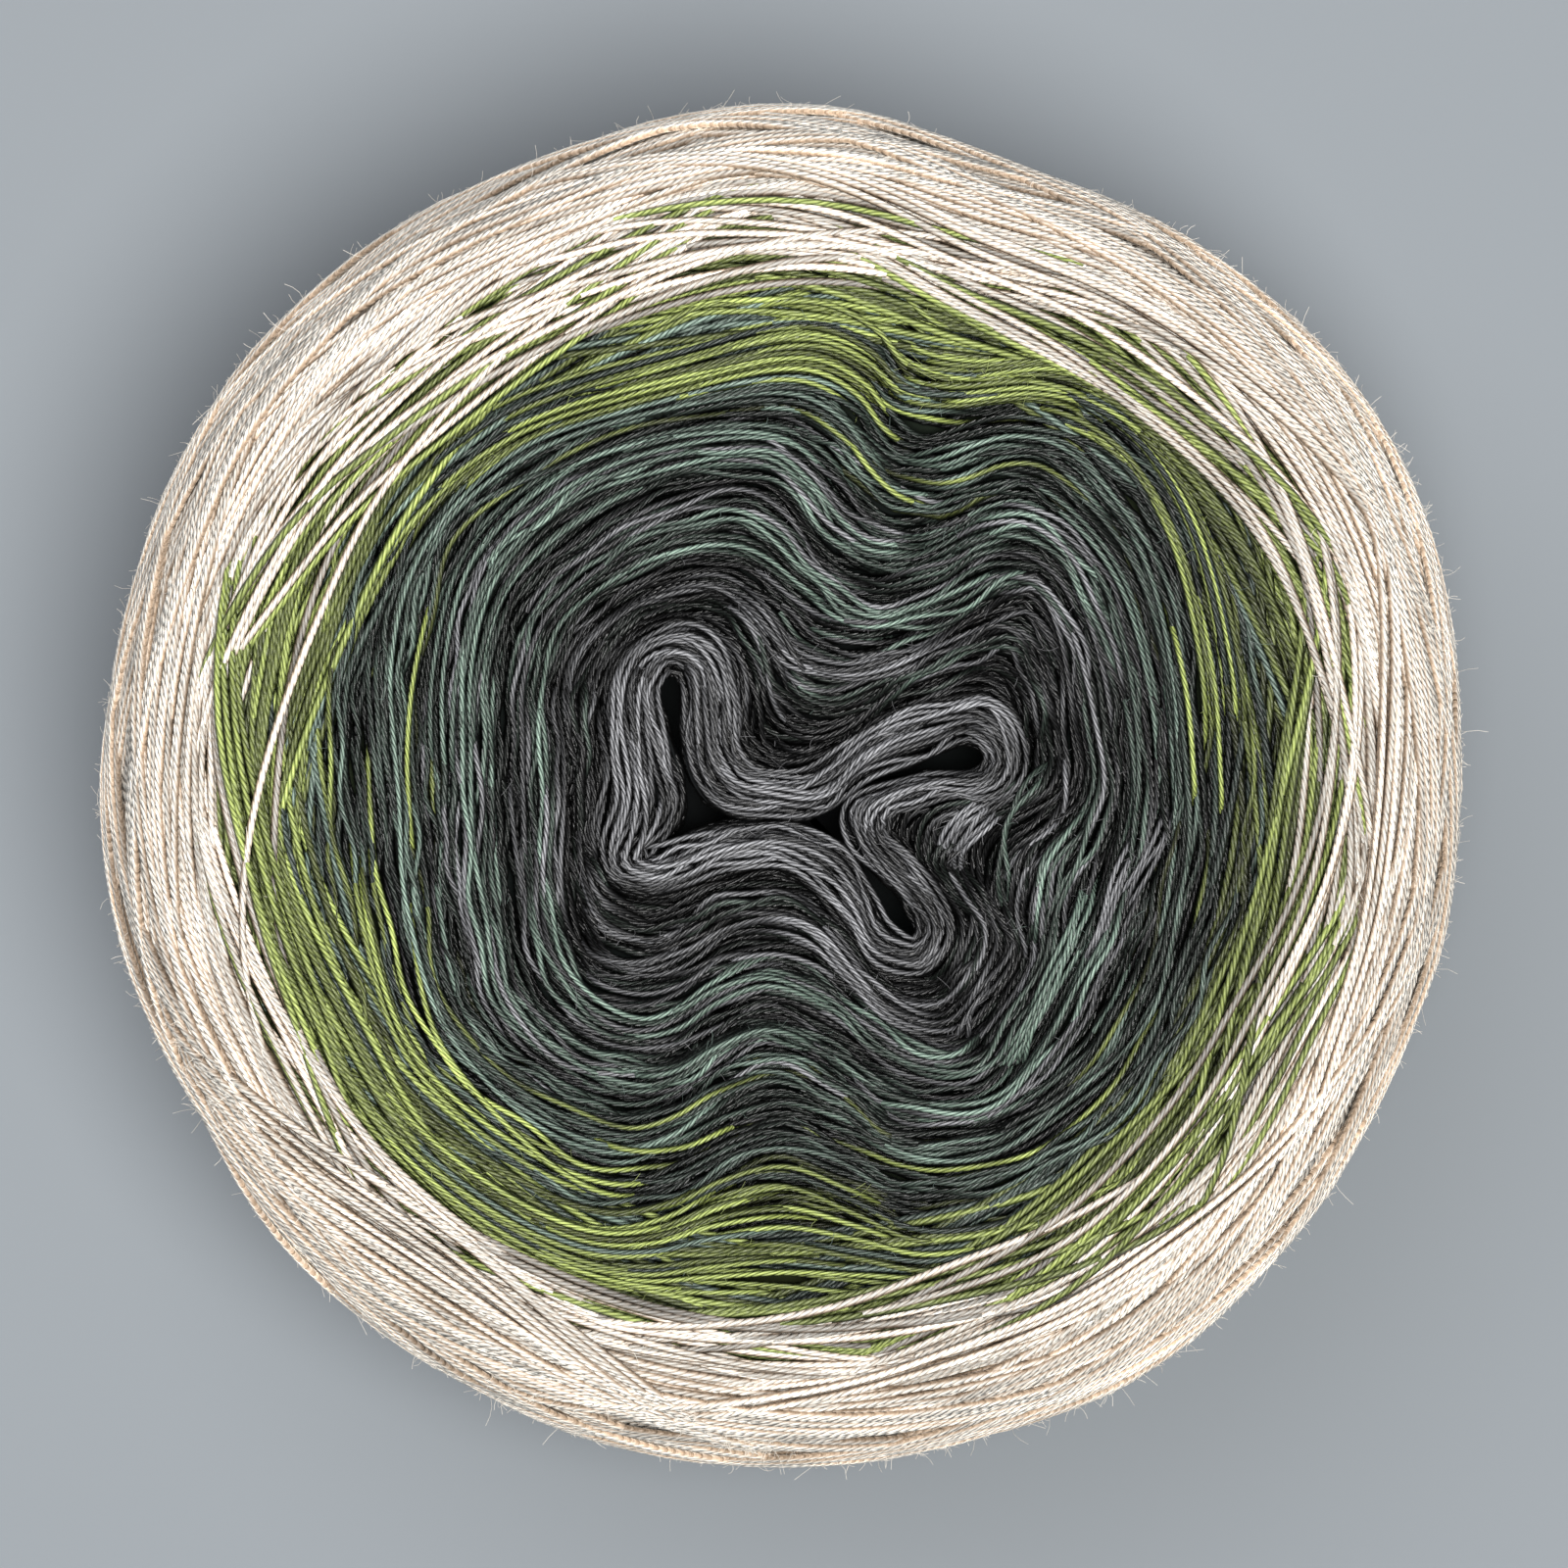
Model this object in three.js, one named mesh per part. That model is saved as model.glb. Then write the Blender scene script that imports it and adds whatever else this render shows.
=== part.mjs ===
// A yarn cake lying flat on its face: a barrel of fine yarn wound round a spindle that was then drawn out, so that
// its middle has fallen in and its innermost turns have folded into hooks and waves. Millimetres, +Z up, with the
// origin on the surface that the cake stands on, under its middle.
import * as THREE from 'three';

// The wound barrel: its radius at mid height, its height, and where its flat faces turn into the shoulders, each
// of which takes a share of the way down.
const CAKE_RADIUS = 60;
const CAKE_HEIGHT = 60;
const FACE_RADIUS = 48;
const SIDE_BULGE = 1.6;
const SHOULDER_SQUARENESS = 2.6;
const SHOULDER_SHARE = 0.3;

// The face dips towards the fallen middle, and the spindle's hole is left as a narrow crooked pit.
const DISH_DEPTH = 6;
const DISH_REACH = 0.75;
const PIT_DEPTH = 10;

// The innermost band of turns stands up as one round lock, and the turns outside it lie in broad ridges.
const LOCK_CROWN = 2.2;
const RIDGE_RISE = 0.55;
const RIDGES_PER_LAP = 1.5;
const RIDGE_WANDER = 1.4;

// Turns that cross each other on the side leave slanting swells.
const SWELL_RISE = 0.3;
const SWELLS_ROUND = 9;
const SWELL_SLANT = Math.PI / CAKE_HEIGHT;

// How far the skin's crowded lines are spread out evenly again on their way from the folds to the rim.
const EVENING = 0.3;

// Steps of the skin: between two rows of FOLDS, and across each stretch from the pit out to the base.
const STEPS_PER_FOLD = 4;
const STEPS = { lock: 4, gap: 4, wave: 7, slope: 5, rim: 2, shoulder: 5, side: 4, underShoulder: 4 };

// The folds, clockwise as seen from above. Each row follows one crest, trough or side of a fold outwards: the
// points where it crosses the pit's edge, the lock's outer edge, the first waves, the slope and the calm turns.
const FOLDS = [
  // The left leg of the lock, going up.
  { pit: [-8.5, -1.6], lock: [-16.4, -1.6], wave: [-19.0, -1.6], slope: [-26.7, -2.4], calm: [-34.6, -2.4] },
  { pit: [-9.3, 2.2], lock: [-16.0, 2.6], wave: [-19.2, 3.4], slope: [-27.0, 3.4], calm: [-35.2, 3.8] },
  { pit: [-10.5, 5.9], lock: [-16.0, 6.3], wave: [-19.6, 8.4], slope: [-26.7, 9.7], calm: [-34.6, 10.9] },
  // The left hook, over its top.
  { pit: [-10.2, 8.4], lock: [-15.2, 9.7], wave: [-17.9, 12.6], slope: [-24.2, 17.6], calm: [-31.7, 21.8] },
  { pit: [-9.9, 9.1], lock: [-12.9, 12.8], wave: [-13.3, 16.5], slope: [-17.1, 24.1], calm: [-23.3, 29.3] },
  { pit: [-9.7, 9.3], lock: [-10.7, 13.6], wave: [-10.0, 17.6], slope: [-9.2, 27.2], calm: [-8.3, 34.3] },
  { pit: [-9.2, 9.3], lock: [-7.5, 14.1], wave: [-5.2, 18.0], slope: [-1.5, 27.7], calm: [2.0, 36.0] },
  { pit: [-8.8, 8.4], lock: [-4.0, 12.2], wave: [-2.9, 16.9], slope: [1.9, 25.7], calm: [6.9, 34.6] },
  // Its other leg, down into the bowl.
  { pit: [-8.4, 4.7], lock: [-2.7, 8.0], wave: [0.0, 14.7], slope: [4.8, 22.2], calm: [8.8, 32.2] },
  { pit: [-7.7, 0.1], lock: [-2.7, 4.7], wave: [2.1, 13.0], slope: [7.3, 20.3], calm: [10.4, 31.3] },
  { pit: [-5.4, -2.0], lock: [-1.7, 2.8], wave: [4.2, 12.2], slope: [9.2, 19.8], calm: [12.1, 30.9] },
  { pit: [-1.3, -2.2], lock: [0.8, 1.9], wave: [6.7, 11.8], slope: [11.3, 19.8], calm: [14.2, 30.8] },
  { pit: [2.9, -1.8], lock: [4.2, 3.0], wave: [10.4, 12.4], slope: [13.8, 20.7], calm: [16.7, 31.1] },
  // The right hook, out along its top and back underneath.
  { pit: [7.1, 0.8], lock: [8.3, 6.3], wave: [13.8, 13.4], slope: [16.9, 22.2], calm: [20.0, 31.3] },
  { pit: [12.1, 2.8], lock: [14.2, 8.4], wave: [17.5, 15.9], slope: [20.2, 22.8], calm: [23.8, 30.5] },
  { pit: [15.4, 3.7], lock: [17.9, 8.6], wave: [21.3, 16.8], slope: [24.0, 20.3], calm: [28.3, 27.6] },
  { pit: [17.1, 3.0], lock: [20.2, 5.1], wave: [23.8, 12.6], slope: [27.3, 15.1], calm: [32.5, 21.3] },
  { pit: [17.3, 1.9], lock: [20.8, 1.8], wave: [25.4, 5.1], slope: [29.6, 6.6], calm: [35.4, 10.1] },
  { pit: [15.8, 0.8], lock: [19.6, -0.2], wave: [25.8, 0.1], slope: [30.2, -0.6], calm: [36.0, 0.9] },
  { pit: [11.7, 0.8], lock: [15.4, -0.9], wave: [23.3, -3.3], slope: [29.9, -4.1], calm: [36.0, -3.3] },
  // The neck, down to the lower hook.
  { pit: [5.5, -2.1], lock: [10.4, -2.0], wave: [20.0, -6.6], slope: [28.8, -8.3], calm: [35.4, -7.4] },
  { pit: [6.0, -4.3], lock: [9.3, -3.9], wave: [19.2, -9.9], slope: [27.9, -11.4], calm: [34.6, -11.6] },
  { pit: [7.8, -6.8], lock: [11.3, -7.0], wave: [19.6, -12.0], slope: [26.9, -14.3], calm: [33.3, -15.3] },
  { pit: [10.4, -9.9], lock: [13.8, -9.8], wave: [20.4, -14.5], slope: [25.4, -17.5], calm: [31.7, -19.5] },
  // The lower hook, round its tip and back.
  { pit: [11.8, -12.4], lock: [14.3, -12.8], wave: [18.3, -18.3], slope: [22.7, -21.8], calm: [28.3, -24.9] },
  { pit: [10.8, -13.4], lock: [12.1, -16.2], wave: [14.6, -21.6], slope: [18.2, -26.6], calm: [21.7, -30.3] },
  { pit: [8.8, -12.0], lock: [7.5, -15.3], wave: [10.0, -20.8], slope: [13.4, -27.7], calm: [15.0, -32.7] },
  { pit: [7.1, -9.1], lock: [5.0, -12.0], wave: [6.3, -17.4], slope: [8.6, -26.6], calm: [9.6, -32.8] },
  // The lower crest and the trough left of it.
  { pit: [4.8, -5.6], lock: [2.5, -8.7], wave: [2.5, -14.1], slope: [4.0, -23.4], calm: [4.8, -30.3] },
  { pit: [0.0, -3.7], lock: [-0.8, -7.4], wave: [-1.3, -13.1], slope: [-1.1, -21.2], calm: [0.0, -28.3] },
  { pit: [-4.6, -3.9], lock: [-5.0, -8.1], wave: [-5.4, -13.7], slope: [-5.6, -22.7], calm: [-4.6, -29.5] },
  { pit: [-7.9, -5.1], lock: [-8.3, -9.5], wave: [-8.3, -15.8], slope: [-9.2, -24.9], calm: [-8.8, -31.8] },
  { pit: [-11.1, -5.9], lock: [-11.7, -9.9], wave: [-12.1, -17.0], slope: [-12.9, -25.5], calm: [-13.8, -32.6] },
  // The foot of the left leg.
  { pit: [-12.4, -5.3], lock: [-14.8, -8.3], wave: [-16.3, -15.8], slope: [-18.8, -23.3], calm: [-21.3, -29.5] },
  { pit: [-11.0, -4.5], lock: [-16.1, -5.9], wave: [-18.2, -12.4], slope: [-24.0, -17.9], calm: [-30.0, -21.6] },
  { pit: [-9.0, -3.7], lock: [-16.7, -4.1], wave: [-18.8, -7.4], slope: [-26.0, -9.5], calm: [-33.5, -10.8] },
];

// Hollows where the folds part: the middle of each, its half sizes, its turn in degrees, and its depth.
const HOLLOWS = [
  { where: 'over the left hook', x: -8.6, y: 15.8, long: 6.5, wide: 1.9, turn: 8, deep: 2.4 },
  { where: 'left of the left hook', x: -16.0, y: 11.0, long: 3.5, wide: 1.7, turn: 50, deep: 1.8 },
  { where: 'in the bowl', x: -0.4, y: 5.2, long: 3.4, wide: 2.4, turn: 0, deep: 2.4 },
  { where: 'under the third wave', x: 9.0, y: 17.4, long: 5.0, wide: 1.8, turn: 5, deep: 1.2 },
  { where: 'over the right hook', x: 18.6, y: 10.5, long: 3.8, wide: 1.9, turn: -20, deep: 2.2 },
  { where: 'beside the right hook', x: 22.4, y: 3.2, long: 2.2, wide: 2.0, turn: 0, deep: 1.8 },
  { where: 'pocket of the neck', x: 16.8, y: -6.0, long: 3.8, wide: 2.6, turn: 60, deep: 3.4 },
  { where: 'below the lower hook', x: 14.0, y: -19.0, long: 3.8, wide: 2.3, turn: -30, deep: 2.4 },
  { where: 'slot of the lower left', x: -14.5, y: -13.0, long: 4.6, wide: 1.8, turn: -12, deep: 2.2 },
];

// The winding isn't quite round: where it stands out or is drawn in, in degrees from +X, and by how much.
const LOBES = [
  { at: 29, spread: 17, rise: 1.5 },
  { at: 71, spread: 11, rise: -1.5 },
  { at: 112, spread: 12, rise: -0.7 },
  { at: 146, spread: 11, rise: 0.7 },
  { at: 208, spread: 10, rise: -0.6 },
  { at: 301, spread: 11, rise: 0.7 },
  { at: 334, spread: 10, rise: -0.8 },
];

const degrees = THREE.MathUtils.degToRad;

function lobeRise(angle) {
  let rise = 0;
  for (const lobe of LOBES) {
    const away = Math.atan2(Math.sin(angle - degrees(lobe.at)), Math.cos(angle - degrees(lobe.at)));
    rise += lobe.rise * Math.exp(-((away / degrees(lobe.spread)) ** 2));
  }
  return rise;
}

// One smooth closed line of yarn through the same column of every fold.
function lap(column) {
  const points = FOLDS.map((row) => new THREE.Vector3(row[column][0], row[column][1], 0));
  return new THREE.CatmullRomCurve3(points, true, 'centripetal');
}

const LAPS = ['pit', 'lock', 'wave', 'slope', 'calm'].map(lap);

// The height of the face above the flat: a shallow dish that is level again at the rim.
function dish(radius) {
  const inward = THREE.MathUtils.clamp(1 - radius / FACE_RADIUS, 0, 1);
  return CAKE_HEIGHT - DISH_DEPTH * THREE.MathUtils.smoothstep(inward, 0, DISH_REACH);
}

function hollowDepth(x, y) {
  let depth = 0;
  for (const hollow of HOLLOWS) {
    const turn = degrees(hollow.turn);
    const along = ((x - hollow.x) * Math.cos(turn) + (y - hollow.y) * Math.sin(turn)) / hollow.long;
    const across = ((y - hollow.y) * Math.cos(turn) - (x - hollow.x) * Math.sin(turn)) / hollow.wide;
    depth += hollow.deep * Math.exp(-(along ** 2) - across ** 2);
  }
  return depth;
}

// The relief of the turns at a lap, where 0 is the pit's edge, 1 the lock's outer edge and 4 the calm turns.
function turnRelief(lapAt, round) {
  if (lapAt <= 1) return LOCK_CROWN * (1 - (2 * lapAt - 1) ** 2);
  const wander = RIDGE_WANDER * Math.sin(4 * Math.PI * round + lapAt);
  return -RIDGE_RISE * Math.cos(2 * Math.PI * RIDGES_PER_LAP * (lapAt - 1) + wander);
}

// A point of the folded face, at a lap and a share of the way round.
function facePoint(lapAt, round) {
  const inner = Math.min(Math.floor(lapAt), LAPS.length - 2);
  const point = LAPS[inner].getPoint(round).lerp(LAPS[inner + 1].getPoint(round), lapAt - inner);
  point.z = dish(Math.hypot(point.x, point.y)) + turnRelief(lapAt, round) - hollowDepth(point.x, point.y);
  return point;
}

// The angle at which a share of the way round reaches the rim, part of the way back to even spacing.
function rimAngle(round) {
  const start = LAPS[LAPS.length - 1].getPoint(0);
  const calm = LAPS[LAPS.length - 1].getPoint(round);
  const even = Math.atan2(start.y, start.x) - 2 * Math.PI * round;
  const off = Math.atan2(calm.y, calm.x) - even;
  return even + (1 - EVENING) * Math.atan2(Math.sin(off), Math.cos(off));
}

// The barrel's outer profile, from its upper face's edge at share 0 to the lower one at share 1.
function barrelProfile(share) {
  const turn = Math.PI * share;
  const out = Math.sin(turn) ** (2 / SHOULDER_SQUARENESS);
  const up = Math.sign(Math.cos(turn)) * Math.abs(Math.cos(turn)) ** (2 / SHOULDER_SQUARENESS);
  const reach = CAKE_RADIUS - SIDE_BULGE - FACE_RADIUS;
  const radius = FACE_RADIUS + reach * out + SIDE_BULGE * Math.sin(turn) ** 2;
  return { radius, height: (CAKE_HEIGHT / 2) * (1 + up), out };
}

function barrelPoint(share, round) {
  const angle = rimAngle(round);
  const { radius, height, out } = barrelProfile(share);
  const leftSlant = Math.cos(SWELLS_ROUND * angle + SWELL_SLANT * height);
  const rightSlant = Math.cos(SWELLS_ROUND * angle - SWELL_SLANT * height);
  const swell = SWELL_RISE * (leftSlant + rightSlant) * out;
  const standing = radius + (lobeRise(angle) * radius) / CAKE_RADIUS + swell;
  return new THREE.Vector3(standing * Math.cos(angle), standing * Math.sin(angle), height);
}

const COUNT = FOLDS.length * STEPS_PER_FOLD;
const ring = (place) => Array.from({ length: COUNT }, (_, step) => place(step / COUNT));
const shares = (from, to, steps) => Array.from({ length: steps }, (_, i) => from + ((to - from) * i) / steps);

// The rings of the skin, from the pit's floor up its wall, over the face, down the side and on to the base.
function skinRings() {
  const floorHeight = CAKE_HEIGHT - DISH_DEPTH - PIT_DEPTH;
  const rings = [ring((round) => facePoint(0, round).setZ(floorHeight))];
  const acrossFace = [
    ...shares(0, 1, STEPS.lock),
    ...shares(1, 2, STEPS.gap),
    ...shares(2, 3, STEPS.wave),
    ...shares(3, 4, STEPS.slope),
  ];
  for (const lapAt of acrossFace) rings.push(ring((round) => facePoint(lapAt, round)));
  for (const share of shares(0, 1, STEPS.rim)) rings.push(ring((round) => rimPoint(share, round)));
  const downSide = [
    ...shares(0, SHOULDER_SHARE, STEPS.shoulder),
    ...shares(SHOULDER_SHARE, 1 - SHOULDER_SHARE, STEPS.side),
    ...shares(1 - SHOULDER_SHARE, 1, STEPS.underShoulder),
    1,
  ];
  for (const share of downSide) rings.push(ring((round) => barrelPoint(share, round)));
  return rings;
}

// Between the calm turns and the barrel the relief dies away.
function rimPoint(share, round) {
  const start = facePoint(LAPS.length - 1, round);
  const relief = start.z - dish(Math.hypot(start.x, start.y));
  const point = start.lerp(barrelPoint(0, round), share);
  return point.setZ(dish(Math.hypot(point.x, point.y)) + relief * (1 - share));
}

// Triangles that fill a flat ring, facing up or down.
function flatFill(points, offset, facing) {
  const outline = points.map((point) => new THREE.Vector2(point.x, point.y));
  return THREE.ShapeUtils.triangulateShape(outline, []).flatMap(([a, b, c]) => {
    const ab = outline[b].clone().sub(outline[a]);
    const ac = outline[c].clone().sub(outline[a]);
    const corners = ab.cross(ac) * facing > 0 ? [a, b, c] : [a, c, b];
    return corners.map((corner) => corner + offset);
  });
}

// Joins the rings into one closed skin between the pit's floor and the flat base.
function woundBody() {
  const rings = skinRings();
  const faces = flatFill(rings[0], 0, 1);
  for (let r = 0; r + 1 < rings.length; r++) {
    for (let i = 0; i < COUNT; i++) {
      const next = (i + 1) % COUNT;
      const [a, b] = [r * COUNT + i, r * COUNT + next];
      const [c, d] = [b + COUNT, a + COUNT];
      faces.push(a, b, c, a, c, d);
    }
  }
  faces.push(...flatFill(rings[rings.length - 1], (rings.length - 1) * COUNT, -1));
  const geometry = new THREE.BufferGeometry();
  const positions = rings.flat().flatMap((point) => [point.x, point.y, point.z]);
  geometry.setAttribute('position', new THREE.Float32BufferAttribute(positions, 3));
  geometry.setIndex(faces);
  geometry.computeBoundingBox();
  const middle = geometry.boundingBox.getCenter(new THREE.Vector3());
  geometry.translate(-middle.x, -middle.y, 0);
  geometry.computeVertexNormals();
  return geometry;
}

// Undyed cream yarn covers the whole side, so the body takes its colour.
const woundYarn = new THREE.MeshStandardMaterial({ color: 0xdcc7b0, roughness: 0.9, metalness: 0 });

const cake = new THREE.Mesh(woundBody(), woundYarn);
cake.name = 'cake';

const yarnCake = new THREE.Group();
yarnCake.add(cake);

export default yarnCake;
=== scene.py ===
import math

import bpy
import numpy as np
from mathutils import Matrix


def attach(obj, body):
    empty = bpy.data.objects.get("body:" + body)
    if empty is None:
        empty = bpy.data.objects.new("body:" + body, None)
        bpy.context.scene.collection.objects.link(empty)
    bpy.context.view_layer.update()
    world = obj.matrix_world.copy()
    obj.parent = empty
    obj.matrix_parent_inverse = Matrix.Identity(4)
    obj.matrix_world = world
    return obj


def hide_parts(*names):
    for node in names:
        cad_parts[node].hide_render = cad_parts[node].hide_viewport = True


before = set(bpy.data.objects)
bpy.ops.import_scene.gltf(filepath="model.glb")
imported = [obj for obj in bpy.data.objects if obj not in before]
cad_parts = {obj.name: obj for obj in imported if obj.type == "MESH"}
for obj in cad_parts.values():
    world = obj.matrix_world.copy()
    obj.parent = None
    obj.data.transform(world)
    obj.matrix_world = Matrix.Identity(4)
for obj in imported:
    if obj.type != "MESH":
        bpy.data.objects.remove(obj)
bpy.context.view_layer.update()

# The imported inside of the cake: cotton yarn, wound on a spindle to a barrel, which shows only as the dark
# between the turns. The spindle was drawn out, so the innermost turns fell into one long lock with three
# hooks round a crooked pit, and those outside them into waves that calm down towards the rim.
MILLIMETRE = 0.001
WOUND_RADIUS = 60.0  # in millimetres, like every length but those of the table and the lights
WOUND_HEIGHT = 60.0
FACE_RADIUS = 48.0
SIDE_BULGE = 1.6
SHOULDER_SQUARENESS = 2.6
DISH_DEPTH = 6.0
DISH_REACH = 0.75
PIT_FLOOR = 44.0

# One row for each crest, trough or side of a fold, clockwise from the left leg. The columns are the laps of
# yarn that it crosses on its way out, as x and y: the pit's edge, the lock's outer edge, three waves, and
# the first of the calm turns.
FOLDS = [
    # the left leg of the lock, going up
    ((-8.4, -1.4), (-16.4, -1.6), (-19.0, -1.6), (-23.8, -2.4), (-29.6, -2.4), (-34.6, -2.4)),
    ((-9.2, 2.2), (-16.0, 2.6), (-19.2, 3.4), (-24.0, 3.4), (-30.0, 3.4), (-35.2, 3.8)),
    ((-10.3, 5.8), (-16.0, 6.3), (-19.6, 8.4), (-23.8, 9.3), (-29.6, 10.1), (-34.6, 10.9)),
    # the left hook, over its top
    ((-10.8, 8.0), (-15.2, 9.7), (-17.9, 12.6), (-21.7, 15.9), (-26.7, 19.3), (-31.7, 21.8)),
    ((-10.3, 9.2), (-12.9, 12.8), (-13.3, 16.5), (-15.0, 21.8), (-19.2, 26.3), (-23.3, 29.3)),
    ((-9.8, 9.7), (-10.7, 13.6), (-10.0, 17.6), (-9.2, 24.7), (-9.2, 29.7), (-8.3, 34.3)),
    ((-9.1, 9.4), (-7.5, 14.1), (-5.2, 18.0), (-2.9, 25.3), (0.0, 30.1), (2.5, 36.3)),
    ((-8.7, 8.2), (-4.0, 12.2), (-2.9, 16.9), (0.0, 23.4), (3.8, 28.0), (7.1, 34.2)),
    # its other leg, down into the bowl
    ((-8.7, 4.5), (-2.7, 8.0), (0.0, 14.7), (2.9, 19.7), (6.7, 24.7), (8.8, 32.2)),
    ((-7.9, 0.4), (-2.7, 4.7), (2.1, 13.0), (5.7, 17.6), (8.8, 23.0), (10.4, 31.3)),
    ((-5.6, -2.1), (-1.7, 2.8), (4.2, 12.2), (7.9, 17.0), (10.4, 22.6), (12.1, 30.9)),
    ((-1.3, -2.7), (0.8, 1.9), (6.7, 11.8), (10.4, 17.0), (12.1, 22.6), (14.2, 30.8)),
    ((2.9, -2.6), (4.2, 3.0), (10.4, 12.4), (12.9, 17.9), (14.6, 23.4), (16.7, 31.1)),
    # the right hook, out along its top and back underneath
    ((7.0, 0.4), (8.3, 6.3), (13.8, 13.4), (16.3, 19.6), (17.5, 24.8), (20.0, 31.3)),
    ((12.1, 2.2), (14.2, 8.4), (17.5, 15.9), (19.6, 20.4), (20.8, 25.1), (23.8, 30.5)),
    ((15.4, 3.7), (17.9, 8.6), (21.3, 16.8), (22.9, 18.4), (25.0, 22.2), (28.3, 27.6)),
    ((17.1, 3.0), (20.2, 5.1), (23.8, 12.6), (25.8, 13.4), (28.8, 16.8), (32.5, 21.3)),
    ((17.3, 1.9), (20.8, 1.8), (25.4, 5.1), (27.9, 5.5), (31.3, 7.6), (35.4, 10.1)),
    ((15.8, 0.8), (19.6, -0.2), (25.8, 0.1), (28.5, -0.8), (31.9, -0.3), (36.0, 0.9)),
    ((11.3, 0.9), (15.4, -0.9), (23.3, -3.3), (27.9, -4.1), (31.8, -4.1), (36.0, -3.3)),
    # the neck, down to the lower hook
    ((5.4, -2.0), (10.4, -2.0), (20.0, -6.6), (26.3, -8.3), (31.3, -8.3), (35.4, -7.4)),
    ((5.8, -4.6), (9.3, -3.9), (19.2, -9.9), (25.4, -10.8), (30.4, -12.0), (34.6, -11.6)),
    ((7.5, -6.9), (11.3, -7.0), (19.6, -12.0), (24.6, -13.3), (29.2, -15.3), (33.3, -15.3)),
    ((10.0, -9.6), (13.8, -9.8), (20.4, -14.5), (23.3, -15.8), (27.5, -19.1), (31.7, -19.5)),
    # the lower hook, round its tip and back
    ((11.5, -12.2), (14.3, -12.8), (18.3, -18.3), (20.8, -20.3), (24.6, -23.3), (28.3, -24.9)),
    ((10.8, -13.4), (12.1, -16.2), (14.6, -21.6), (17.1, -25.3), (19.2, -27.8), (21.7, -30.3)),
    ((8.6, -12.0), (7.5, -15.3), (10.0, -20.8), (12.9, -26.2), (13.8, -29.1), (15.0, -32.7)),
    ((7.4, -9.0), (5.0, -12.0), (6.3, -17.4), (8.3, -24.9), (8.8, -28.3), (9.6, -32.8)),
    # the lower crest and the trough left of it
    ((5.1, -5.3), (2.5, -8.7), (2.5, -14.1), (3.8, -21.8), (4.2, -24.9), (4.8, -30.3)),
    ((0.0, -3.2), (-0.8, -7.4), (-1.3, -13.1), (-1.3, -19.5), (-0.8, -22.8), (0.0, -28.3)),
    ((-4.6, -3.2), (-5.0, -8.1), (-5.4, -13.7), (-5.8, -21.2), (-5.4, -24.1), (-4.6, -29.5)),
    ((-7.8, -4.2), (-8.3, -9.5), (-8.3, -15.8), (-9.2, -23.1), (-9.2, -26.6), (-8.8, -31.8)),
    ((-10.8, -5.7), (-11.7, -9.9), (-12.1, -17.0), (-12.5, -23.3), (-13.3, -27.6), (-13.8, -32.6)),
    # the foot of the left leg
    ((-12.2, -5.6), (-14.8, -8.3), (-16.3, -15.8), (-17.5, -21.6), (-20.0, -24.9), (-21.3, -29.5)),
    ((-10.6, -4.6), (-16.1, -5.9), (-18.2, -12.4), (-21.7, -16.6), (-26.3, -19.1), (-30.0, -21.6)),
    ((-9.0, -3.4), (-16.7, -4.1), (-18.8, -7.4), (-23.2, -9.1), (-28.8, -9.9), (-33.5, -10.8)),
]

# Hollows where the folds part: place, middle in x and y, half length, half width, turn in degrees, depth.
HOLLOWS = [
    ("over the left hook", -8.2, 16.0, 6.0, 1.6, 8, 3.2),
    ("left of the left hook", -16.6, 10.6, 3.5, 1.2, 55, 2.6),
    ("in the bowl", -1.6, 4.2, 2.6, 2.2, 60, 3.4),
    ("over the right hook", 18.6, 10.5, 3.8, 1.6, -20, 3.0),
    ("beside the right hook", 22.4, 3.2, 2.2, 2.0, 0, 2.6),
    ("pocket of the neck", 15.4, -6.8, 3.4, 2.0, 60, 4.0),
    ("right of the lower hook", 18.0, -12.0, 8.0, 3.2, 108, 2.4),
    ("below the lower hook", 14.0, -19.0, 3.8, 2.0, -30, 3.2),
    ("slot of the lower left", -14.5, -13.0, 4.6, 1.4, -12, 2.6),
    ("left of the foot", -17.4, -8.5, 6.5, 0.9, 92, 2.4),
    ("right flank", 29.5, -3.0, 17.0, 6.0, 90, 1.7),
]

# Where the winding stands out or is drawn in: degrees from +X, spread in degrees, rise.
LOBES = [
    (29, 17, 1.5),
    (71, 11, -1.5),
    (112, 12, -0.7),
    (146, 11, 0.7),
    (208, 10, -0.6),
    (301, 11, 0.7),
    (334, 10, -0.8),
]

STEPS_PER_FOLD = 20
STEPS_ROUND = len(FOLDS) * STEPS_PER_FOLD
ALL_ROUND = np.arange(STEPS_ROUND)
ROUND = ALL_ROUND / STEPS_ROUND
HAIR = 1e-9  # added where a length may be zero


def smooth(x):
    x = np.clip(x, 0.0, 1.0)
    return x * x * (3 - 2 * x)


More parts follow.
